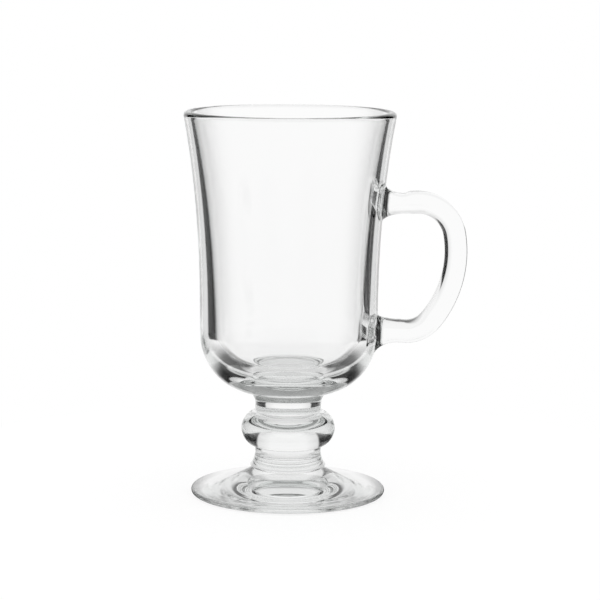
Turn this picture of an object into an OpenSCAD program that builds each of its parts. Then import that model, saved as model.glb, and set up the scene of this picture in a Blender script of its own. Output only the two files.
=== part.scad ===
// Footed glass mug for hot coffee: a flared bowl on a ball stem and a round foot, with one ear handle.
// Origin at the centre of the ring it stands on. +Z up, handle towards +X. Millimetres.

/* [Foot] */
// Diameter of the foot
foot_d = 71; // [60:1:90]
// Thickness of the rounded edge of the foot
foot_edge_t = 2; // [1.4:0.1:3]
// Height of the foot at the stem
foot_h = 9.4; // [7:0.1:13]
// Diameter of the hollow under the foot
hollow_d = 58; // [40:1:66]
// Height of the hollow under the foot at its middle
hollow_h = 1.6; // [0.6:0.1:4]

/* [Stem] */
// Height of the stem, from the foot to the bowl
stem_h = 28.2; // [24:0.2:40]
// Diameter of the neck above and below the ball
neck_d = 24.2; // [20:0.2:28]
// Largest diameter of the ball
ball_d = 34.3; // [30:0.1:44]
// Radius of the rounding of the ball, seen from the side
ball_round_r = 6.8; // [5.8:0.1:8]
// Height of the middle of the ball above the foot
ball_z = 14.5; // [12:0.1:18]
// Diameter of the collar that sits on the foot
collar_d = 27.6; // [24:0.2:34]
// Height of the rounded lower edge of the collar
collar_edge_h = 0.9; // [0.4:0.1:2]
// Height from the collar's widest place up to the plain neck
collar_h = 4.6; // [3:0.1:6]
// Diameter of the stem where it is fused to the foot
stem_foot_d = 25.2; // [22:0.2:28]
// Diameter of the stem where it is fused to the bowl
stem_bowl_d = 28.8; // [26:0.2:34]
// Height of the curve that opens the neck out under the bowl
throat_h = 4.6; // [3:0.1:6]

/* [Bowl] */
// Height of the bowl, from the stem to the rim
bowl_h = 102.4; // [85:0.5:130]
// Outer diameter at the rim
rim_d = 76.8; // [68:0.2:92]
// Outer diameter of the straight lower part
waist_d = 64.7; // [58:0.1:67]
// Radius of the rounded lower corner outside
corner_r = 21.5; // [18:0.5:24]
// Wall thickness at the half round lip
lip_t = 3.2; // [2.2:0.1:4]
// Wall thickness low down, at the lower corner; it thins out evenly from there up to the lip
low_wall_t = 5.4; // [4:0.1:6.5]
// Thickness of the solid glass under the cavity
base_t = 9; // [6:0.1:13]
// Radius of the rounded lower corner of the cavity
cavity_corner_r = 13.5; // [8:0.5:16]

/* [Handle] */
// Thickness of the handle's bar, seen from the side
bar_t = 8.1; // [6:0.1:10]
// Width of the handle's bar, seen from the front
bar_w = 9; // [8:0.1:13]
// Height of the upper root's centre above the table
upper_root_z = 105.4; // [98:0.1:112]
// Straight length of the bar above the fingers, from the bowl's straight lower part outwards
top_run = 12.2; // [9:0.1:16]
// Radius of the bend at the top of the ear, along the middle of the bar
shoulder_r = 13.5; // [11:0.5:17]
// Radius of the long outer side of the ear
grip_r = 39.4; // [34:0.2:46]
// Radius of the bend at the foot of the ear
heel_r = 11.5; // [9:0.5:14]
// Thickness of the bar where the upper root begins
neck_t = 7.1; // [5.5:0.1:9]
// Radius of the bar's corners on the outer side of the ear
outer_corner_r = 1.2; // [0.6:0.1:2.6]
// Radius of the bar's corners on the finger side of the ear
finger_corner_r = 4.1; // [2:0.1:5]
// Distance from the bowl over which the upper root spreads
upper_reach = 8; // [5:0.1:9]
// Height that the upper root gains above the bar
upper_root_up = 4.3; // [2:0.1:6]
// Height that the upper root gains below the bar
upper_root_down = 3.3; // [2:0.1:5]
// Distance from the bowl over which the lower root spreads
lower_reach = 7.6; // [5:0.1:9]
// Height that the lower root gains above the bar
lower_root_up = 1.9; // [1:0.1:3]
// Height that the lower root gains below the bar
lower_root_down = 4.3; // [2:0.1:5]
// Width that a root gains on either side
root_side = 2.6; // [1:0.1:4]
// Distance from the bowl over which a root spreads to either side
side_reach = 2.8; // [1.5:0.1:5]

/* [Hidden] */
$fn = 96;

glass_colour = [0.80, 0.87, 0.85, 0.45];
handle_colour = [0.74, 0.84, 0.82, 0.55];

// Slope of the bar at the upper root, rising away from the bowl, and at the lower root, falling away from it
top_tilt = 8.5;
heel_tilt = 5.5;
// Turn of the bar in each bend of the ear
shoulder_turn = 88.5;
grip_turn = 49;
heel_turn = 180 + top_tilt + heel_tilt - shoulder_turn - grip_turn;

// Number of straight pieces that draw each curve of an outline
edge_steps = 8;
curve_steps = 20;
bend_steps = 10;
// Places between the ends of a flat side of the bar's section
flat_shares = [0.25, 0.5, 0.75];
// Places between the upper root and the first bend, and how far the bar has thickened there
neck_run_shares = [0.25, 0.5, 0.75];
neck_growth_shares = [0.16, 0.5, 0.84];

// Powers that shape the bowl's flare, the top of the foot and the collar
flare_power = 2.45;
foot_power = 1.8;
collar_power = 2;

// Heights of the joints and of the rim
stem_top_z = foot_h + stem_h;
rim_z = stem_top_z + bowl_h;

// Centre of the bowl's rounded lower corner: the arc ends on the rim of the stem's top
corner_x = waist_d / 2 - corner_r;
corner_z = stem_top_z + sqrt(pow(corner_r, 2) - pow(stem_bowl_d / 2 - corner_x, 2));
lip_z = rim_z - lip_t / 2;

// Centre of the ball's rounding
ball_x = ball_d / 2 - ball_round_r;
ball_centre_z = foot_h + ball_z;
ball_half_h = sqrt(pow(ball_round_r, 2) - pow(neck_d / 2 - ball_x, 2));
ball_half_angle = asin(ball_half_h / ball_round_r);

// Radius of the curve that opens the neck out under the bowl
throat_x = (stem_bowl_d - neck_d) / 2;
throat_r = (pow(throat_h, 2) + pow(throat_x, 2)) / (2 * throat_x);

// Height of the cavity's floor, and where its rounded corner meets the side wall
floor_z = stem_top_z + base_t;
cavity_corner_z = floor_z + cavity_corner_r;

// Points on a circle arc, from one angle to another
function arc(x, z, radius, from, to, steps) =
    [for (i = [0:steps])
        let (a = from + (to - from) * i / steps)
        [x + radius * cos(a), z + radius * sin(a)]];

// Heights shared out evenly between two limits
function levels(low, high, steps) = [for (i = [0:steps]) low + (high - low) * i / steps];

// Radius of the outside of the bowl at a height above its lower corner
function outer_r(z) =
    waist_d / 2 + (rim_d - waist_d) / 2 * pow(max(0, (z - corner_z) / (lip_z - corner_z)), flare_power);

// Thickness of the wall at a height
function wall_at(z) = lip_t + (low_wall_t - lip_t) * (lip_z - z) / (lip_z - corner_z);

function inner_r(z) = outer_r(z) - wall_at(z);

// Radius of the outside of the bowl at any height, the lower corner too
function side_r(z) =
    z >= corner_z ? outer_r(z) : corner_x + sqrt(max(0, pow(corner_r, 2) - pow(corner_z - z, 2)));

// Outside of the bowl, from the stem up to the lip
function bowl_side() = concat(
    arc(corner_x, corner_z, corner_r,
        -acos((stem_bowl_d / 2 - corner_x) / corner_r), 0, curve_steps),
    [for (z = levels(corner_z, lip_z, curve_steps)) if (z > corner_z) [outer_r(z), z]]);

// Half round lip, from the outside to the inside
function lip() = arc(rim_d / 2 - lip_t / 2, lip_z, lip_t / 2, 0, 180, edge_steps);

// Inside of the bowl, from the lip down to the middle of the floor
function cavity_side() = concat(
    [for (z = levels(lip_z, cavity_corner_z, curve_steps)) if (z < lip_z) [inner_r(z), z]],
    arc(inner_r(cavity_corner_z) - cavity_corner_r, cavity_corner_z, cavity_corner_r,
        0, -90, curve_steps),
    [[0, floor_z]]);

// Solid of revolution of the outside of the bowl, which also shapes the roots of the handle
module bowl_outside() {
    rotate_extrude()
        polygon(concat([[0, stem_top_z]], bowl_side(), [[0, lip_z]]));
}

module bowl() {
    color(glass_colour)
        rotate_extrude()
            polygon(concat([[0, stem_top_z]], bowl_side(), lip(), cavity_side()));
}

// Side of the stem, from the foot up to the bowl
function collar_side() = concat(
    [for (a = levels(-90, 0, edge_steps))
        [stem_foot_d / 2 + (collar_d - stem_foot_d) / 2 * cos(a),
            foot_h + collar_edge_h * (1 + sin(a))]],
    [for (s = levels(0, 1, curve_steps)) if (s > 0)
        [neck_d / 2 + (collar_d - neck_d) / 2 * pow(1 - s, collar_power),
            foot_h + collar_edge_h + collar_h * s]]);

function ball_side() =
    arc(ball_x, ball_centre_z, ball_round_r, -ball_half_angle, ball_half_angle, 2 * curve_steps);

function throat_side() =
    arc(neck_d / 2 + throat_r, stem_top_z - throat_h, throat_r,
        180, 180 - asin(throat_h / throat_r), curve_steps);

module stem() {
    color(glass_colour)
        rotate_extrude()
            polygon(concat([[0, foot_h]], collar_side(), ball_side(), throat_side(), [[0, stem_top_z]]));
}

// Radius of the hollow's shallow dome
dome_r = (pow(hollow_d / 2, 2) + pow(hollow_h, 2)) / (2 * hollow_h);
dome_angle = asin(hollow_d / 2 / dome_r);

function foot_dome() = arc(0, hollow_h - dome_r, dome_r, 90, 90 - dome_angle, curve_steps);

function foot_edge() =
    arc((foot_d - foot_edge_t) / 2, foot_edge_t / 2, foot_edge_t / 2, -90, 90, 2 * edge_steps);

function foot_top() =
    [for (s = levels(0, 1, curve_steps)) if (s > 0)
        [(foot_d - foot_edge_t) / 2 + (stem_foot_d - foot_d + foot_edge_t) / 2 * s,
            foot_edge_t + (foot_h - foot_edge_t) * pow(s, foot_power)]];

module foot() {
    color(glass_colour)
        rotate_extrude()
            polygon(concat(foot_dome(), foot_edge(), foot_top(), [[0, foot_h]]));
}

// The bar's middle line: a point is [x, z], a heading is the direction of travel from the upper root
function ahead(point, heading, run) = point + run * [cos(heading), sin(heading)];
function bend_centre(point, heading, radius) = ahead(point, heading - 90, radius);
function bend_end(point, heading, radius, turn) =
    ahead(bend_centre(point, heading, radius), heading + 90 - turn, radius);

shoulder_start = ahead([waist_d / 2, upper_root_z], top_tilt, top_run);
grip_start = bend_end(shoulder_start, top_tilt, shoulder_r, shoulder_turn);
grip_heading = top_tilt - shoulder_turn;
heel_start = bend_end(grip_start, grip_heading, grip_r, grip_turn);
heel_heading = grip_heading - grip_turn;
heel_end = bend_end(heel_start, heel_heading, heel_r, heel_turn);
heel_out_heading = heel_heading - heel_turn;

// Where the bar leaves the upper root and enters the lower one
upper_neck_run = (shoulder_start[0] - outer_r(upper_root_z) - upper_reach) / cos(top_tilt);
upper_neck = ahead(shoulder_start, top_tilt, -upper_neck_run);
lower_neck = ahead(heel_end, heel_out_heading, (heel_end[0] - waist_d / 2 - lower_reach) / cos(heel_tilt));

// Depth of a root's plug inside the bowl, and of the root's last ring; the bowl's own shape cuts both off
root_depth = 6;
root_sink = 0.05;

// A station of the bar: its middle, its heading, its half sizes across the heading and along Y, and its pull,
// the share of the way that its ring is drawn along X on to the side of the bowl
function station(point, heading, half_t, half_w, pull = 0) = [point, heading, half_t, half_w, pull];
function bar_station(point, heading) = station(point, heading, bar_t / 2, bar_w / 2);

// Stations of a root, from the bowl outwards: a hollow curve down to the bar, shorter to the sides
function root_station(neck, heading, half_t, gain_left, gain_right, reach, a) =
    let (side_turn = acos(1 - min(1, reach * (1 - cos(a)) / side_reach)), spread = 1 - sin(a))
    station(ahead(neck, heading + 90, (gain_left - gain_right) / 2 * spread), heading,
        half_t + (gain_left + gain_right) / 2 * spread,
        bar_w / 2 + root_side * (1 - sin(side_turn)),
        cos(a));
function root_stations(neck, heading, half_t, gain_left, gain_right, reach) =
    [for (a = levels(0, 90, edge_steps))
        root_station(neck, heading, half_t, gain_left, gain_right, reach, a)];

// Plain end of a root inside the bowl
function plug(s, reach) = station(s[0] - [reach + root_depth, 0], s[1], s[2], s[3]);

// Stations along a bend that turns clockwise as seen with +X to the right, without its first
function bend_stations(point, heading, radius, turn, steps) =
    [for (t = levels(0, turn, steps)) if (t > 0)
        bar_station(bend_end(point, heading, radius, t), heading - t)];

function reversed(stations) = [for (i = [len(stations) - 1:-1:0]) stations[i]];

upper_root =
    root_stations(upper_neck, top_tilt, neck_t / 2, upper_root_up, upper_root_down, upper_reach);
lower_root =
    root_stations(lower_neck, heel_out_heading, bar_t / 2, lower_root_down, lower_root_up, lower_reach);

function neck_stations() =
    [for (i = [0:len(neck_run_shares) - 1])
        station(ahead(upper_neck, top_tilt, upper_neck_run * neck_run_shares[i]), top_tilt,
            (neck_t + (bar_t - neck_t) * neck_growth_shares[i]) / 2, bar_w / 2)];

function handle_stations() = concat(
    [plug(upper_root[0], upper_reach)],
    upper_root,
    neck_stations(),
    [bar_station(shoulder_start, top_tilt)],
    bend_stations(shoulder_start, top_tilt, shoulder_r, shoulder_turn, bend_steps),
    bend_stations(grip_start, grip_heading, grip_r, grip_turn, bend_steps),
    bend_stations(heel_start, heel_heading, heel_r, heel_turn, bend_steps),
    reversed(lower_root),
    [plug(lower_root[0], lower_reach)]);

// Narrowest flat that stays between two corners of the bar, and the radius that this leaves to the finger side
least_flat = 0.4;
finger_r = min(finger_corner_r, (bar_w - least_flat) / 2, bar_t - outer_corner_r - least_flat);

// Section of the bar, as points across the heading and along Y: four round corners and the flats between them
function corner(side_u, side_w, radius, from, steps) =
    arc(side_u * (bar_t / 2 - radius), side_w * (bar_w / 2 - radius), radius, from, from + 90, steps);
corners = [
    corner(1, 1, outer_corner_r, 0, edge_steps / 2),
    corner(-1, 1, finger_r, 90, edge_steps),
    corner(-1, -1, finger_r, 180, edge_steps),
    corner(1, -1, outer_corner_r, 270, edge_steps / 2)];
function last_of(points) = points[len(points) - 1];
function flat(from, to) = [for (s = flat_shares) from + (to - from) * s];
section = [for (i = [0:3])
    each concat(corners[i], flat(last_of(corners[i]), corners[(i + 1) % 4][0]))];
bar_sides = len(section);

// Points of the ring of a station
function side_x(y, z) = sqrt(max(0, pow(side_r(z), 2) - pow(y, 2)));
function ring(s) =
    [for (p = section)
        let (y = p[1] * 2 * s[3] / bar_w, middle = ahead(s[0], s[1] + 90, p[0] * 2 * s[2] / bar_t))
        [middle[0] + s[4] * (side_x(y, middle[1]) - root_sink - middle[0]), y, middle[1]]];

// Triangles between ring k and the next, and the caps of the first and last rings
function band(k) =
    [for (i = [0:bar_sides - 1])
        let (j = (i + 1) % bar_sides, near = k * bar_sides, far = near + bar_sides)
        each [[near + i, far + i, near + j], [near + j, far + i, far + j]]];
function caps(last) = [
    [for (i = [0:bar_sides - 1]) i],
    [for (i = [bar_sides - 1:-1:0]) last * bar_sides + i]];

module ear() {
    stations = handle_stations();
    last = len(stations) - 1;
    polyhedron(
        points = [for (s = stations) each ring(s)],
        faces = concat([for (k = [0:last - 1]) each band(k)], caps(last)));
}

module handle() {
    color(handle_colour)
        difference() {
            ear();
            bowl_outside();
        }
}

bowl();
stem();
foot();
handle();
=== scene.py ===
# Footed glass mug for hot coffee, pressed in clear glass: the dressed model on a white studio table.
# Metres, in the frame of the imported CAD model. Named lengths are in millimetres, and are used times MM.
import math
import bpy
from mathutils import Matrix
from mathutils.bvhtree import BVHTree


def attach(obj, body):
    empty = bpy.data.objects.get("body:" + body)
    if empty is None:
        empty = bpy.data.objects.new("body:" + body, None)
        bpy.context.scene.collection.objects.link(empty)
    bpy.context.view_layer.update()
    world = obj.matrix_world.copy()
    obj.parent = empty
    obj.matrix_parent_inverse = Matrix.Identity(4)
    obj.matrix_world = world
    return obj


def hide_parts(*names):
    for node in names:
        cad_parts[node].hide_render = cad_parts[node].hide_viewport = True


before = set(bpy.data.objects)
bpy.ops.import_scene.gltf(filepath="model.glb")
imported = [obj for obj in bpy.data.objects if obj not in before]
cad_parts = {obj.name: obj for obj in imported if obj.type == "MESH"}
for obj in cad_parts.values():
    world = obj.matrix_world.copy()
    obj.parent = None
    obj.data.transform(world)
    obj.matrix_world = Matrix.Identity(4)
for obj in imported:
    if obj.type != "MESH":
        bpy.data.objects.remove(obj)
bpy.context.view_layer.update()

# A millimetre in metres, and the distance under which two points count as one
MM = 0.001
WELD = 0.001 * MM
BODY = "root"

# The mug's own sizes, in millimetres, as in the CAD model
FOOT_D, FOOT_EDGE_T, FOOT_H = 71, 2, 9.4
HOLLOW_D, HOLLOW_H = 58, 1.6
STEM_H, NECK_D = 28.2, 24.2
BALL_D, BALL_ROUND_R, BALL_Z = 34.3, 6.8, 14.5
COLLAR_D, COLLAR_EDGE_H, COLLAR_H = 27.6, 0.9, 4.6
STEM_FOOT_D, STEM_BOWL_D, THROAT_H = 25.2, 28.8, 4.6
BOWL_H, RIM_D, WAIST_D, CORNER_R = 102.4, 76.8, 64.7, 21.5
LIP_T, LOW_WALL_T, BASE_T, CAVITY_CORNER_R = 3.2, 5.4, 9, 13.5
BAR_T, BAR_W = 8.1, 9
NECK_T, FINGER_CORNER_R, OUTER_CORNER_R = 7.1, 4.1, 1.2
UPPER_ROOT_Z, TOP_RUN = 105.4, 12.2
SHOULDER_R, GRIP_R, HEEL_R = 13.5, 39.4, 11.5
UPPER_ROOT_UP, UPPER_ROOT_DOWN, LOWER_ROOT_UP, LOWER_ROOT_DOWN = 4.3, 3.3, 1.9, 4.3
UPPER_REACH, LOWER_REACH, ROOT_SIDE, SIDE_REACH = 8, 7.6, 2.6, 2.8
ROOT_DEPTH, ROOT_SINK = 6, 0.05
TOP_TILT, HEEL_TILT = 8.5, 5.5
SHOULDER_TURN, GRIP_TURN = 88.5, 49
FLARE_POWER, FOOT_POWER, COLLAR_POWER = 2.45, 1.8, 2

STEM_TOP_Z = FOOT_H + STEM_H
RIM_Z = STEM_TOP_Z + BOWL_H
CORNER_X = WAIST_D / 2 - CORNER_R
CORNER_Z = STEM_TOP_Z + math.sqrt(CORNER_R ** 2 - (STEM_BOWL_D / 2 - CORNER_X) ** 2)
LIP_Z = RIM_Z - LIP_T / 2
BALL_X = BALL_D / 2 - BALL_ROUND_R
BALL_CENTRE_Z = FOOT_H + BALL_Z
BALL_HALF_ANGLE = math.degrees(math.acos((NECK_D / 2 - BALL_X) / BALL_ROUND_R))
THROAT_X = (STEM_BOWL_D - NECK_D) / 2
THROAT_R = (THROAT_H ** 2 + THROAT_X ** 2) / (2 * THROAT_X)
FLOOR_Z = STEM_TOP_Z + BASE_T
CAVITY_CORNER_Z = FLOOR_Z + CAVITY_CORNER_R
DOME_R = ((HOLLOW_D / 2) ** 2 + HOLLOW_H ** 2) / (2 * HOLLOW_H)
DOME_ANGLE = math.degrees(math.asin(HOLLOW_D / 2 / DOME_R))

# Fineness of the meshes: parts of a turn, steps along a curve, along a small curve and along a bend,
# parts of the bar's outer and finger-side corners, and cuts in its flats
TURN_STEPS = 224
CURVE_STEPS = 40
SMALL_STEPS = 24
LIP_STEPS = 16
COLLAR_EDGE_STEPS = 12
SHOULDER_STEPS = 32
OUTER_CORNER_PARTS, FINGER_CORNER_PARTS, FLAT_CUTS = 7, 16, 7

# Places of the rings across the flat faces and along the upper neck, as shares of the way, and how far the
# neck has grown to the bar's thickness at each
FLOOR_SHARES = (0.97, 0.9, 0.6, 0.3, 0)
RING_SHARES = (0.06, 0.5, 0.94)
NECK_GROWTH = ((0.25, 0.16), (0.5, 0.5), (0.75, 0.84), (1, 1))


# Outlines, as points [r, z] in millimetres

def levels(low, high, steps):
    return [low + (high - low) * i / steps for i in range(steps + 1)]


def arc(x, z, radius, start, end, steps):
    return [(x + radius * math.cos(math.radians(a)), z + radius * math.sin(math.radians(a)))
            for a in levels(start, end, steps)]


def outer_r(z):
    share = max(0, (z - CORNER_Z) / (LIP_Z - CORNER_Z))
    return WAIST_D / 2 + (RIM_D - WAIST_D) / 2 * share ** FLARE_POWER


def wall_at(z):
    return LIP_T + (LOW_WALL_T - LIP_T) * (LIP_Z - z) / (LIP_Z - CORNER_Z)


def inner_r(z):
    return outer_r(z) - wall_at(z)


def side_r(z):
    if z >= CORNER_Z:
        return outer_r(z)
    return CORNER_X + math.sqrt(CORNER_R ** 2 - (CORNER_Z - z) ** 2)


def bowl_side():
    start = -math.degrees(math.acos((STEM_BOWL_D / 2 - CORNER_X) / CORNER_R))
    return (arc(CORNER_X, CORNER_Z, CORNER_R, start, 0, CURVE_STEPS)
            + [(outer_r(z), z) for z in levels(CORNER_Z, LIP_Z, 2 * CURVE_STEPS)[1:]])


def cavity_side():
    side = [(inner_r(z), z) for z in levels(LIP_Z, CAVITY_CORNER_Z, 2 * CURVE_STEPS)[1:]]
    floor_r = inner_r(CAVITY_CORNER_Z) - CAVITY_CORNER_R
    corner = arc(floor_r, CAVITY_CORNER_Z, CAVITY_CORNER_R, 0, -90, CURVE_STEPS)
    floor = [(floor_r * share, FLOOR_Z) for share in FLOOR_SHARES]
    return side + corner[1:] + floor


def bowl_outline():
    lip = arc(RIM_D / 2 - LIP_T / 2, LIP_Z, LIP_T / 2, 0, 180, LIP_STEPS)
    return [(0, STEM_TOP_Z)] + bowl_side() + lip[1:] + cavity_side()


def stem_outline():
    edge = [(STEM_FOOT_D / 2 + (COLLAR_D - STEM_FOOT_D) / 2 * math.cos(math.radians(a)),
             FOOT_H + COLLAR_EDGE_H * (1 + math.sin(math.radians(a))))
            for a in levels(-90, 0, COLLAR_EDGE_STEPS)]
    collar = [(NECK_D / 2 + (COLLAR_D - NECK_D) / 2 * (1 - s) ** COLLAR_POWER,
               FOOT_H + COLLAR_EDGE_H + COLLAR_H * s) for s in levels(0, 1, SMALL_STEPS)]
    ball = arc(BALL_X, BALL_CENTRE_Z, BALL_ROUND_R, -BALL_HALF_ANGLE, BALL_HALF_ANGLE, 2 * CURVE_STEPS)
    throat = arc(NECK_D / 2 + THROAT_R, STEM_TOP_Z - THROAT_H, THROAT_R,
                 180, 180 - math.degrees(math.asin(THROAT_H / THROAT_R)), SMALL_STEPS)
    return [(0, FOOT_H)] + edge + collar[1:] + ball + throat + [(0, STEM_TOP_Z)]


def foot_outline():
    dome = arc(0, HOLLOW_H - DOME_R, DOME_R, 90, 90 - DOME_ANGLE, CURVE_STEPS)
    edge_x = (FOOT_D - FOOT_EDGE_T) / 2
    ring = [(HOLLOW_D / 2 + (edge_x - HOLLOW_D / 2) * share, 0) for share in RING_SHARES]
    edge = arc(edge_x, FOOT_EDGE_T / 2, FOOT_EDGE_T / 2, -90, 90, SMALL_STEPS)
    top = [(edge_x + (STEM_FOOT_D / 2 - edge_x) * s,
            FOOT_EDGE_T + (FOOT_H - FOOT_EDGE_T) * s ** FOOT_POWER) for s in levels(0, 1, 2 * CURVE_STEPS)]
    return dome + ring + edge + top[1:] + [(0, FOOT_H)]


# Pieces

def start_mesh(name):
    """The mesh that was just added gets its name."""
    piece = bpy.context.object
    piece.name = name
    piece.data.name = name
    return piece


def turned(name, outline):
    """The outline is drawn from a single point, corner by corner, and turned about Z by a Screw modifier."""
    bpy.ops.object.select_all(action="DESELECT")
    bpy.ops.mesh.primitive_plane_add(size=MM)
    piece = start_mesh(name)
    bpy.ops.object.mode_set(mode="EDIT")
    bpy.ops.mesh.select_mode(type="VERT")
    bpy.ops.mesh.select_all(action="SELECT")
    bpy.ops.mesh.merge(type="CENTER")
    bpy.ops.transform.translate(value=(outline[0][0] * MM, 0, outline[0][1] * MM))
    for (x0, z0), (x1, z1) in zip(outline, outline[1:]):
        bpy.ops.mesh.extrude_vertices_move(
            TRANSFORM_OT_translate={"value": ((x1 - x0) * MM, 0, (z1 - z0) * MM)})
    bpy.ops.object.mode_set(mode="OBJECT")
    turn = piece.modifiers.new("turn", "SCREW")
    turn.axis, turn.angle, turn.screw_offset = "Z", math.tau, 0
    turn.steps = turn.render_steps = TURN_STEPS
    turn.use_merge_vertices, turn.merge_threshold = True, WELD
    bpy.ops.object.modifier_apply(modifier=turn.name)
    bpy.ops.object.mode_set(mode="EDIT")
    bpy.ops.mesh.select_all(action="SELECT")
    bpy.ops.mesh.remove_doubles(threshold=WELD)
    bpy.ops.mesh.normals_make_consistent(inside=False)
    bpy.ops.object.mode_set(mode="OBJECT")
    return piece


def ahead(point, heading, run):
    """The point at the end of a run in a heading, which is in degrees up from +X."""
    return (point[0] + run * math.cos(math.radians(heading)), point[1] + run * math.sin(math.radians(heading)))


def bend_end(point, heading, radius, turn):
    centre = ahead(point, heading - 90, radius)
    return ahead(centre, heading + 90 - turn, radius)


def bend_stations(point, heading, radius, turn, steps):
    return [(*bend_end(point, heading, radius, t), heading - t, BAR_T / 2, BAR_W / 2, 0)
            for t in levels(0, turn, steps)[1:]]


def root_stations(neck, heading, half_t, up, down, reach):
    """A root, from the bowl outwards, drawn flat at the neck; the last number is its pull towards the bowl."""
    stations = []
    for a in levels(0, 90, SMALL_STEPS):
        spread = 1 - math.sin(math.radians(a))
        run = reach * (1 - math.cos(math.radians(a)))
        side_turn = math.acos(1 - min(1, run / SIDE_REACH))
        side = 1 - math.sin(side_turn)
        centre = ahead(neck, heading + 90, (up - down) * spread / 2)
        stations.append((*centre, heading, half_t + (up + down) * spread / 2,
                         BAR_W / 2 + ROOT_SIDE * side, math.cos(math.radians(a))))
    return stations


SHOULDER = ahead((WAIST_D / 2, UPPER_ROOT_Z), TOP_TILT, TOP_RUN)
GRIP = bend_end(SHOULDER, TOP_TILT, SHOULDER_R, SHOULDER_TURN)
GRIP_HEADING = TOP_TILT - SHOULDER_TURN
HEEL = bend_end(GRIP, GRIP_HEADING, GRIP_R, GRIP_TURN)
HEEL_HEADING = GRIP_HEADING - GRIP_TURN
HEEL_TURN = 180 + TOP_TILT + HEEL_TILT - SHOULDER_TURN - GRIP_TURN
HEEL_END = bend_end(HEEL, HEEL_HEADING, HEEL_R, HEEL_TURN)
HEEL_OUT = HEEL_HEADING - HEEL_TURN
UPPER_NECK_RUN = (SHOULDER[0] - outer_r(UPPER_ROOT_Z) - UPPER_REACH) / math.cos(math.radians(TOP_TILT))
UPPER_NECK = ahead(SHOULDER, TOP_TILT, -UPPER_NECK_RUN)
LOWER_NECK_RUN = (HEEL_END[0] - WAIST_D / 2 - LOWER_REACH) / math.cos(math.radians(HEEL_TILT))
LOWER_NECK = ahead(HEEL_END, HEEL_OUT, LOWER_NECK_RUN)


def ear_stations(upper_depth, lower_depth):
    """Stations [x, z, heading, half size in the plane of the ear, half size along Y, pull towards the bowl]."""
    upper = root_stations(UPPER_NECK, TOP_TILT, NECK_T / 2, UPPER_ROOT_UP, UPPER_ROOT_DOWN, UPPER_REACH)
    lower = root_stations(LOWER_NECK, HEEL_OUT, BAR_T / 2, LOWER_ROOT_DOWN, LOWER_ROOT_UP, LOWER_REACH)
    first, last = upper[0], lower[0]
    plug_in = (first[0] - UPPER_REACH - upper_depth, *first[1:5], 0)
    plug_out = (last[0] - LOWER_REACH - lower_depth, *last[1:5], 0)
    thicken = [(*ahead(UPPER_NECK, TOP_TILT, UPPER_NECK_RUN * run), TOP_TILT,
                (NECK_T + (BAR_T - NECK_T) * growth) / 2, BAR_W / 2, 0)
               for run, growth in NECK_GROWTH]
    return ([plug_in] + upper + thicken
            + bend_stations(SHOULDER, TOP_TILT, SHOULDER_R, SHOULDER_TURN, SHOULDER_STEPS)
            + bend_stations(GRIP, GRIP_HEADING, GRIP_R, GRIP_TURN, SMALL_STEPS)
            + bend_stations(HEEL, HEEL_HEADING, HEEL_R, HEEL_TURN, SMALL_STEPS)
            + lower[::-1] + [plug_out])


def turn_ring(angle, centre):
    # With no window the operator turns the other way, so the angle is given as it comes out
    bpy.ops.transform.rotate(value=math.radians(angle), orient_axis="Y", orient_type="GLOBAL",
                             center_override=centre)


# How far a corner of the section may lie from its place and still be taken for it
CORNER_SLACK = 0.1
# Edges of the section longer than this are flats, the others belong to the corners
SHORTEST_FLAT = 2


def round_corners(radius, side, parts):
    """Rounds the two corners of the flat section that lie on one side of it along X."""
    piece = bpy.context.object
    bpy.ops.mesh.select_all(action="DESELECT")
    bpy.ops.object.mode_set(mode="OBJECT")
    middle = (min(v.co.x for v in piece.data.vertices) + max(v.co.x for v in piece.data.vertices)) / 2
    for v in piece.data.vertices:
        v.select = (v.co.x - middle) * side > (BAR_T / 2 - CORNER_SLACK) * MM
    bpy.ops.object.mode_set(mode="EDIT")
    bpy.ops.mesh.bevel(offset=radius * MM, segments=parts, affect="VERTICES")


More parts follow.
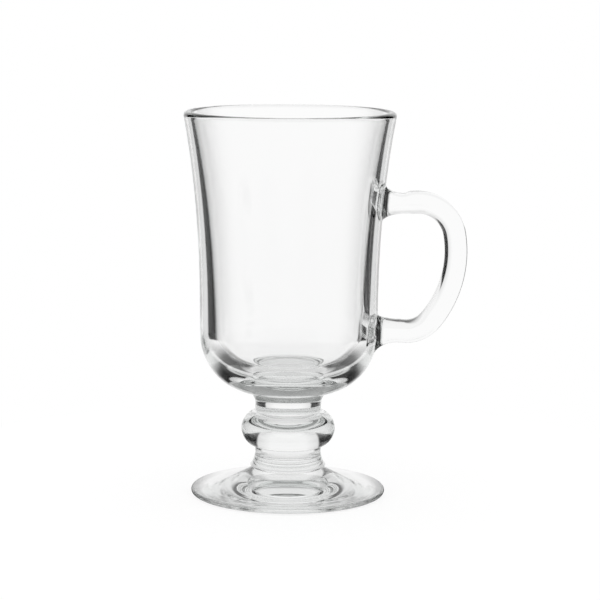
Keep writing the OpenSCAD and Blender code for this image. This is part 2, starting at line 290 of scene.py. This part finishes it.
def drawn_bar(name, stations):
    """A flat section with rounded corners is drawn along the stations by extruding, turning and resizing it."""
    bpy.ops.object.select_all(action="DESELECT")
    x, z, heading, half_t, half_w, pull = stations[0]
    centre = (x * MM, 0, z * MM)
    bpy.ops.mesh.primitive_plane_add(size=MM, location=centre)
    piece = start_mesh(name)
    bpy.ops.object.transform_apply(location=True, rotation=True, scale=True)
    piece.vertex_groups.new(name="pull")
    bpy.ops.object.mode_set(mode="EDIT")
    bpy.ops.mesh.select_all(action="SELECT")
    bpy.ops.transform.resize(value=(BAR_T, BAR_W, 1), center_override=centre)
    bpy.ops.mesh.select_mode(type="VERT")
    round_corners(OUTER_CORNER_R, 1, OUTER_CORNER_PARTS)
    round_corners(FINGER_CORNER_R, -1, FINGER_CORNER_PARTS)
    bpy.ops.mesh.select_mode(type="EDGE")
    bpy.ops.mesh.select_all(action="DESELECT")
    bpy.ops.object.mode_set(mode="OBJECT")
    for edge in piece.data.edges:
        ends = [piece.data.vertices[i].co for i in edge.vertices]
        edge.select = (ends[0] - ends[1]).length > SHORTEST_FLAT * MM
    bpy.ops.object.mode_set(mode="EDIT")
    bpy.ops.mesh.subdivide(number_cuts=FLAT_CUTS)
    bpy.ops.mesh.select_mode(type="FACE")
    bpy.ops.mesh.select_all(action="SELECT")
    bpy.ops.transform.resize(value=(2 * half_t / BAR_T, 2 * half_w / BAR_W, 1), center_override=centre)
    turn_ring(heading + 90, centre)
    for x, z, next_heading, next_t, next_w, pull in stations[1:]:
        step = (x * MM - centre[0], 0, z * MM - centre[2])
        bpy.ops.mesh.extrude_region_move(TRANSFORM_OT_translate={"value": step})
        centre = (x * MM, 0, z * MM)
        if (next_t, next_w) == (half_t, half_w):
            turn_ring(next_heading - heading, centre)
        else:
            turn_ring(-heading - 90, centre)
            bpy.ops.transform.resize(value=(next_t / half_t, next_w / half_w, 1), center_override=centre)
            turn_ring(next_heading + 90, centre)
        heading, half_t, half_w = next_heading, next_t, next_w
        bpy.context.scene.tool_settings.vertex_group_weight = pull
        bpy.ops.object.vertex_group_assign()
    bpy.ops.mesh.select_all(action="SELECT")
    bpy.ops.mesh.normals_make_consistent(inside=False)
    bpy.ops.object.mode_set(mode="OBJECT")
    return piece


def pull_roots(piece, bowl_side_form):
    """The roots' rings are pulled back along X on to the side of the bowl, by the weights of the group."""
    pull = piece.modifiers.new("pull", "SHRINKWRAP")
    pull.target, pull.vertex_group, pull.wrap_method = bowl_side_form, "pull", "PROJECT"
    pull.use_project_x, pull.use_negative_direction, pull.use_positive_direction = True, True, False
    pull.offset = -ROOT_SINK * MM
    bpy.ops.object.modifier_apply(modifier=pull.name)


def pick_faces(piece, wanted):
    """Selects the faces of a piece for which wanted(face) is true, ready for the next edit."""
    bpy.ops.object.select_all(action="DESELECT")
    piece.select_set(True)
    bpy.context.view_layer.objects.active = piece
    for part in (piece.data.vertices, piece.data.edges):
        part.foreach_set("select", [False] * len(part))
    for face in piece.data.polygons:
        face.select = wanted(face)


def into_slot(piece, slot, wanted):
    """The wanted faces get the material of a slot of the piece."""
    pick_faces(piece, wanted)
    bpy.ops.object.mode_set(mode="EDIT")
    piece.active_material_index = slot
    bpy.ops.object.material_slot_assign()
    bpy.ops.object.mode_set(mode="OBJECT")


# Edges where the surface turns by more than this stay sharp, in degrees
SHARP_ANGLE = 32


def smoothed(piece):
    pick_faces(piece, lambda face: True)
    bpy.ops.object.shade_smooth_by_angle(angle=math.radians(SHARP_ANGLE))


# Materials

def linear(code):
    """An sRGB hex colour as linear red, green, blue, alpha."""
    parts = [int(code[i:i + 2], 16) / 255 for i in (1, 3, 5)]
    return tuple(c / 12.92 if c <= 0.04045 else ((c + 0.055) / 1.055) ** 2.4 for c in parts) + (1,)


def add_node(tree, kind, inputs=None, **settings):
    """Adds a node; an input gets a value, or a link where it is given a socket."""
    node = tree.nodes.new(kind)
    for name, value in settings.items():
        setattr(node, name, value)
    for name, value in (inputs or {}).items():
        if isinstance(value, bpy.types.NodeSocket):
            tree.links.new(value, node.inputs[name])
        else:
            node.inputs[name].default_value = value
    return node


def new_material(name):
    material = bpy.data.materials.new(name)
    material.use_nodes = True
    material.node_tree.nodes.clear()
    return material, material.node_tree


def pressed_glass():
    # Clear soda-lime glass, pressed in a mould and fire-polished: bright and smooth, with the faint slow
    # waves that the mould leaves and a slight grey-green cast where light runs far through it
    wave_run, wave_depth = 14, 0.1
    material, tree = new_material("soda_lime_glass_pressed")
    place = add_node(tree, "ShaderNodeTexCoord")
    waves = add_node(tree, "ShaderNodeTexNoise",
                     {"Vector": place.outputs["Object"], "Scale": 1 / (wave_run * MM), "Detail": 1.0,
                      "Roughness": 0.4})
    ripple = add_node(tree, "ShaderNodeBump", {"Height": waves.outputs["Fac"], "Strength": 0.12,
                                               "Distance": wave_depth * MM})
    glass = add_node(tree, "ShaderNodeBsdfPrincipled",
                     {"Base Color": linear("#fefefe"), "Roughness": 0.0, "IOR": 1.52,
                      "Transmission Weight": 1.0, "Normal": ripple.outputs["Normal"]})
    cast = add_node(tree, "ShaderNodeVolumeAbsorption", {"Color": linear("#dadedc"), "Density": 6.0})
    add_node(tree, "ShaderNodeOutputMaterial", {"Surface": glass.outputs["BSDF"],
                                                "Volume": cast.outputs["Volume"]})
    return material


def fused_joint():
    # Where two pieces of the same glass are fused there is no surface to see, so the light goes straight on
    material, tree = new_material("fused_glass_joint")
    clear = add_node(tree, "ShaderNodeBsdfTransparent")
    add_node(tree, "ShaderNodeOutputMaterial", {"Surface": clear.outputs["BSDF"]})
    return material


# Every piece has the glass in its first slot and the joint in its second
JOINT = 1
glass_slots = [pressed_glass(), fused_joint()]


# The four pieces of the mug

def dressed(piece, node):
    """The finished piece is shaded smooth and takes the place of a node of the CAD model."""
    smoothed(piece)
    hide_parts(node)
    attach(piece, BODY)
    return piece


def with_glass(piece):
    for material in glass_slots:
        piece.data.materials.append(material)
    return piece


def is_disc(height):
    """A test for the faces of the flat disc at a height, which face straight up or down."""
    return lambda face: abs(face.center.z - height * MM) < WELD and abs(face.normal.z) > 0.9


def side_form(name):
    """The outside of the bowl alone, which shapes the ends of the handle."""
    return turned(name, [(0, STEM_TOP_Z)] + bowl_side() + [(0, LIP_Z)])


stem = with_glass(turned("stem_ball", stem_outline()))
into_slot(stem, JOINT, lambda face: is_disc(FOOT_H)(face) or is_disc(STEM_TOP_Z)(face))
dressed(stem, "stem")

foot = with_glass(turned("foot_round", foot_outline()))
into_slot(foot, JOINT, is_disc(FOOT_H))
dressed(foot, "foot")

handle = with_glass(drawn_bar("handle_ear", ear_stations(ROOT_DEPTH, ROOT_DEPTH)))
form = side_form("bowl_side_form")
bpy.ops.object.select_all(action="DESELECT")
handle.select_set(True)
bpy.context.view_layer.objects.active = handle
pull_roots(handle, form)
cut = handle.modifiers.new("cut", "BOOLEAN")
cut.operation, cut.solver, cut.object = "DIFFERENCE", "EXACT", form
bpy.ops.object.modifier_apply(modifier=cut.name)


# Farthest that the middle of a facet of the handle's ends lies off the round side of the bowl
FACET_SAG = 0.03


def lies_on_bowl(face):
    r = math.hypot(face.center.x, face.center.y)
    return abs(r / MM - side_r(face.center.z / MM)) < FACET_SAG and face.normal.x < -0.5


into_slot(handle, JOINT, lies_on_bowl)
dressed(handle, "handle")

# The handle's footprint is cut into the side of the bowl with a tube of the same shape, which is then removed;
# its ends stay inside the glass of the wall
TUBE = 2
SMALL_HOLE_SIDES = 8
UPPER_TUBE_DEPTH, LOWER_TUBE_DEPTH = 1.4, 2.6
bowl = with_glass(turned("bowl_flared", bowl_outline()))
tube = with_glass(drawn_bar("footprint_tube", ear_stations(UPPER_TUBE_DEPTH, LOWER_TUBE_DEPTH)))
pull_roots(tube, form)
tube_mark = bpy.data.materials.new("tube_mark")
for piece in (bowl, tube):
    piece.data.materials.append(tube_mark)
into_slot(tube, TUBE, lambda face: True)
bpy.ops.object.select_all(action="DESELECT")
tube.select_set(True)
bowl.select_set(True)
bpy.context.view_layer.objects.active = bowl
bpy.ops.object.join()
pick_faces(bowl, lambda face: face.material_index == TUBE)
bpy.ops.object.mode_set(mode="EDIT")
bpy.ops.mesh.intersect(mode="SELECT_UNSELECT", separate_mode="NONE", threshold=WELD, solver="EXACT")
bpy.ops.object.mode_set(mode="OBJECT")
pick_faces(bowl, lambda face: face.material_index == TUBE)
bpy.ops.object.mode_set(mode="EDIT")
bpy.ops.mesh.delete(type="FACE")
bpy.ops.mesh.select_all(action="SELECT")
bpy.ops.mesh.remove_doubles(threshold=2 * WELD)
bpy.ops.mesh.fill_holes(sides=SMALL_HOLE_SIDES)
bpy.ops.object.mode_set(mode="OBJECT")
bowl.data.materials.pop(index=TUBE)
bpy.data.materials.remove(tube_mark)
bpy.data.objects.remove(form)

footprint = BVHTree.FromPolygons(
    [v.co for v in handle.data.vertices],
    [tuple(face.vertices) for face in handle.data.polygons if face.material_index == JOINT])


def under_handle(face):
    return face.center.x > CORNER_X * MM and footprint.find_nearest(face.center)[3] < 3 * WELD


into_slot(bowl, JOINT, lambda face: is_disc(STEM_TOP_Z)(face) or under_handle(face))
dressed(bowl, "bowl")


# Studio: a round white table in a plain white world. No lamps, cards or backdrop stand in it: what the glass
# shows of them is painted in greys that only light from the glass sees, chosen by trial beside the photograph

def elevation_share(tree, height, start, full):
    """How far a direction has passed from one elevation in degrees to another, from 0 to 1."""
    return add_node(tree, "ShaderNodeMapRange",
                    {"Value": height, "From Min": math.sin(math.radians(start)),
                     "From Max": math.sin(math.radians(full)), "To Min": 0.0, "To Max": 1.0},
                    interpolation_type="SMOOTHSTEP").outputs["Result"]


def turn_share_of(tree, vector):
    """The turn about Z from +Y to a direction or place, to either side, from 0 to 1 for half a turn."""
    axes = add_node(tree, "ShaderNodeSeparateXYZ", {"Vector": vector})
    side_turn = add_node(tree, "ShaderNodeMath", {0: axes.outputs["X"], 1: axes.outputs["Y"]},
                         operation="ARCTAN2")
    turn = add_node(tree, "ShaderNodeMath", {0: side_turn.outputs["Value"]}, operation="ABSOLUTE")
    share = add_node(tree, "ShaderNodeMath", {0: turn.outputs["Value"], 1: math.pi}, operation="DIVIDE")
    return share.outputs["Value"]


def grey(level):
    return (level, level, level, 1)


def grey_ramp(tree, value, levels_at, full):
    """A ramp of greys over a value that goes from 0 to 1, given as (place, grey) with places up to full."""
    node = add_node(tree, "ShaderNodeValToRGB", {"Fac": value})
    ramp = node.color_ramp
    while len(ramp.elements) < len(levels_at):
        ramp.elements.new(0.5)
    for element, (place, level) in zip(ramp.elements, levels_at):
        element.position = place / full
    for element, (place, level) in zip(ramp.elements, levels_at):
        element.color = grey(level)
    return node.outputs["Color"]


def mixed(tree, share, first, second, **settings):
    """Two colours mixed by a share, or the second one multiplied into the first."""
    return add_node(tree, "ShaderNodeMix", {"Factor": share, "A": first, "B": second},
                    data_type="RGBA", **settings).outputs["Result"]


def from_glass(tree, rays):
    """1 for light that the glass mirrors or lets through, 0 for all other light."""
    return add_node(tree, "ShaderNodeMath",
                    {0: rays.outputs["Is Glossy Ray"], 1: rays.outputs["Is Transmission Ray"]},
                    operation="MAXIMUM").outputs["Value"]


HALF_TURN = 180
# Painted brightness round the mug at eye level, by the turn in degrees away from straight behind it
CARDS = [(0, 1.0), (16, 1.0), (31, 0.8), (34, 0.0), (62, 0.0), (76, 0.5), (92, 0.85), (HALF_TURN, 0.85)]
# Painted brightness above that, darker towards the photograph's side
UPPER = [(0, 0.88), (22, 0.88), (36, 0.62), (110, 0.62), (135, 0.42), (HALF_TURN, 0.42)]
CEILING, GROUND = 0.38, 0.95
# Elevations in degrees between which each takes over from the cards
UPPER_FROM, CEILING_FROM, GROUND_FROM = (20, 30), (45, 60), (-17.5, -20.5)


def studio_world():
    """White to the camera and the table. Light from the glass sees painted cards, ceiling and ground instead."""
    world = bpy.data.worlds.new("studio")
    bpy.context.scene.world = world
    world.use_nodes = True
    tree = world.node_tree
    tree.nodes.clear()
    rays = add_node(tree, "ShaderNodeLightPath")
    place = add_node(tree, "ShaderNodeTexCoord")
    height = add_node(tree, "ShaderNodeSeparateXYZ", {"Vector": place.outputs["Generated"]}).outputs["Z"]
    turn_share = turn_share_of(tree, place.outputs["Generated"])
    seen = grey_ramp(tree, turn_share, CARDS, HALF_TURN)
    for limits, colour in ((UPPER_FROM, grey_ramp(tree, turn_share, UPPER, HALF_TURN)),
                           (CEILING_FROM, grey(CEILING)), (GROUND_FROM, grey(GROUND))):
        seen = mixed(tree, elevation_share(tree, height, *limits), seen, colour)
    white = add_node(tree, "ShaderNodeBackground", {"Color": grey(1), "Strength": 1.0})
    glass_view = add_node(tree, "ShaderNodeBackground", {"Color": seen, "Strength": 1.0})
    shown = add_node(tree, "ShaderNodeMixShader",
                     {"Fac": from_glass(tree, rays), 1: white.outputs["Background"],
                      2: glass_view.outputs["Background"]})
    add_node(tree, "ShaderNodeOutputWorld", {"Surface": shown.outputs["Shader"]})


# The table's radius and thickness, the gap under the foot that keeps the two surfaces apart, and its corners
TABLE_R, TABLE_T, TABLE_GAP = 165, 18, 0.3
TABLE_STEPS = 128
# Painted greys of the table that only light from the glass sees: brightness by the radius, then a dark ring
# at the foot's edge, which nothing casts, and how much of it there is by the turn
RINGS = [(0, 0.74), (25, 0.75), (34, 0.9), (60, 0.92), (90, 0.95), (TABLE_R, 0.97)]
EDGE_SHADE = [(0, 1.0), (30, 1.0), (33, 0.3), (36, 0.02), (48, 0.35), (64, 0.92), (TABLE_R, 1.0)]
FRONT = [(0, 0), (45, 0), (80, 1), (HALF_TURN, 1)]
# Painted dark wedges beside the foot, which a matt table wouldn't mirror: brightness by the turn, and how much
# of them shows by the radius
SIDES = [(0, 1.0), (31, 1.0), (38, 0.05), (72, 0.05), (90, 0.85), (HALF_TURN, 1.0)]
NEAR = [(0, 0), (36, 0), (44, 0.9), (75, 0.9), (105, 0.3), (140, 0), (TABLE_R, 0)]
# Its brightness to the camera: a glow of its own and the light that falls on it, which the mug shades
GLOW, LIT_SHARE = 0.82, 0.2


def white_laminate():
    # Smooth white laminate on a board, wiped clean: even and matt to the camera, with the soft shadow of what
    # stands on it
    material, tree = new_material("white_laminate")
    rays = add_node(tree, "ShaderNodeLightPath")
    place = add_node(tree, "ShaderNodeTexCoord")
    radius = add_node(tree, "ShaderNodeVectorMath", {0: place.outputs["Object"]}, operation="LENGTH")
    radius_share = add_node(tree, "ShaderNodeMath", {0: radius.outputs["Value"], 1: TABLE_R * MM},
                            operation="DIVIDE").outputs["Value"]
    turn_share = turn_share_of(tree, place.outputs["Object"])
    # Light from the glass sees painted greys here instead: rings by the radius, painted shade at the foot's edge
    # and painted dark wedges beside the foot
    shade = grey_ramp(tree, radius_share, RINGS, TABLE_R)
    for amount, dark in (
            (grey_ramp(tree, turn_share, FRONT, HALF_TURN), grey_ramp(tree, radius_share, EDGE_SHADE, TABLE_R)),
            (grey_ramp(tree, radius_share, NEAR, TABLE_R), grey_ramp(tree, turn_share, SIDES, HALF_TURN))):
        shade = mixed(tree, amount, shade, dark, blend_type="MULTIPLY")
    glass_side = add_node(tree, "ShaderNodeEmission", {"Color": shade, "Strength": 1.0})
    lit = add_node(tree, "ShaderNodeBsdfDiffuse", {"Color": linear("#f4f4f4")})
    other_rays = add_node(tree, "ShaderNodeMixShader",
                          {"Fac": from_glass(tree, rays), 1: lit.outputs["BSDF"],
                           2: glass_side.outputs["Emission"]})
    faint = add_node(tree, "ShaderNodeBsdfDiffuse", {"Color": grey(LIT_SHARE)})
    glow = add_node(tree, "ShaderNodeEmission", {"Color": grey(1), "Strength": GLOW})
    pale = add_node(tree, "ShaderNodeAddShader", {0: faint.outputs["BSDF"], 1: glow.outputs["Emission"]})
    shown = add_node(tree, "ShaderNodeMixShader",
                     {"Fac": rays.outputs["Is Camera Ray"], 1: other_rays.outputs["Shader"],
                      2: pale.outputs["Shader"]})
    add_node(tree, "ShaderNodeOutputMaterial", {"Surface": shown.outputs["Shader"]})
    return material


studio_world()

bpy.ops.object.select_all(action="DESELECT")
bpy.ops.mesh.primitive_circle_add(vertices=TABLE_STEPS, radius=TABLE_R * MM, fill_type="NGON",
                                  location=(0, 0, 0))
table = start_mesh("table_top")
bpy.ops.object.mode_set(mode="EDIT")
bpy.ops.mesh.select_all(action="SELECT")
bpy.ops.mesh.extrude_region_move(TRANSFORM_OT_translate={"value": (0, 0, -TABLE_T * MM)})
bpy.ops.mesh.select_all(action="SELECT")
bpy.ops.transform.translate(value=(0, 0, -TABLE_GAP * MM))
bpy.ops.mesh.normals_make_consistent(inside=False)
bpy.ops.object.mode_set(mode="OBJECT")
table.data.materials.append(white_laminate())

# Camera, where the photograph was taken from: place in metres, tilt and roll in degrees, lens in millimetres
CAMERA_PLACE = (0, -0.8082, 0.1949)
CAMERA_TILT, CAMERA_ROLL = 81.30, 0.39
LENS, SENSOR_W, SHIFT_X = 134.7, 36, 0.0184
camera_data = bpy.data.cameras.new("camera")
camera_data.lens, camera_data.sensor_width = LENS, SENSOR_W
camera_data.shift_x = SHIFT_X
camera = bpy.data.objects.new("camera", camera_data)
bpy.context.scene.collection.objects.link(camera)
camera.location = CAMERA_PLACE
camera.rotation_mode = "XYZ"
camera.rotation_euler = (Matrix.Rotation(math.radians(CAMERA_TILT), 3, "X")
                         @ Matrix.Rotation(math.radians(CAMERA_ROLL), 3, "Z")).to_euler()
bpy.context.scene.camera = camera

# Light is followed far enough to find its way out of the thick glass
cycles = bpy.context.scene.cycles
cycles.max_bounces = cycles.transmission_bounces = 32
cycles.glossy_bounces = cycles.transparent_max_bounces = 24

view = bpy.context.scene.view_settings
view.view_transform = "Standard"
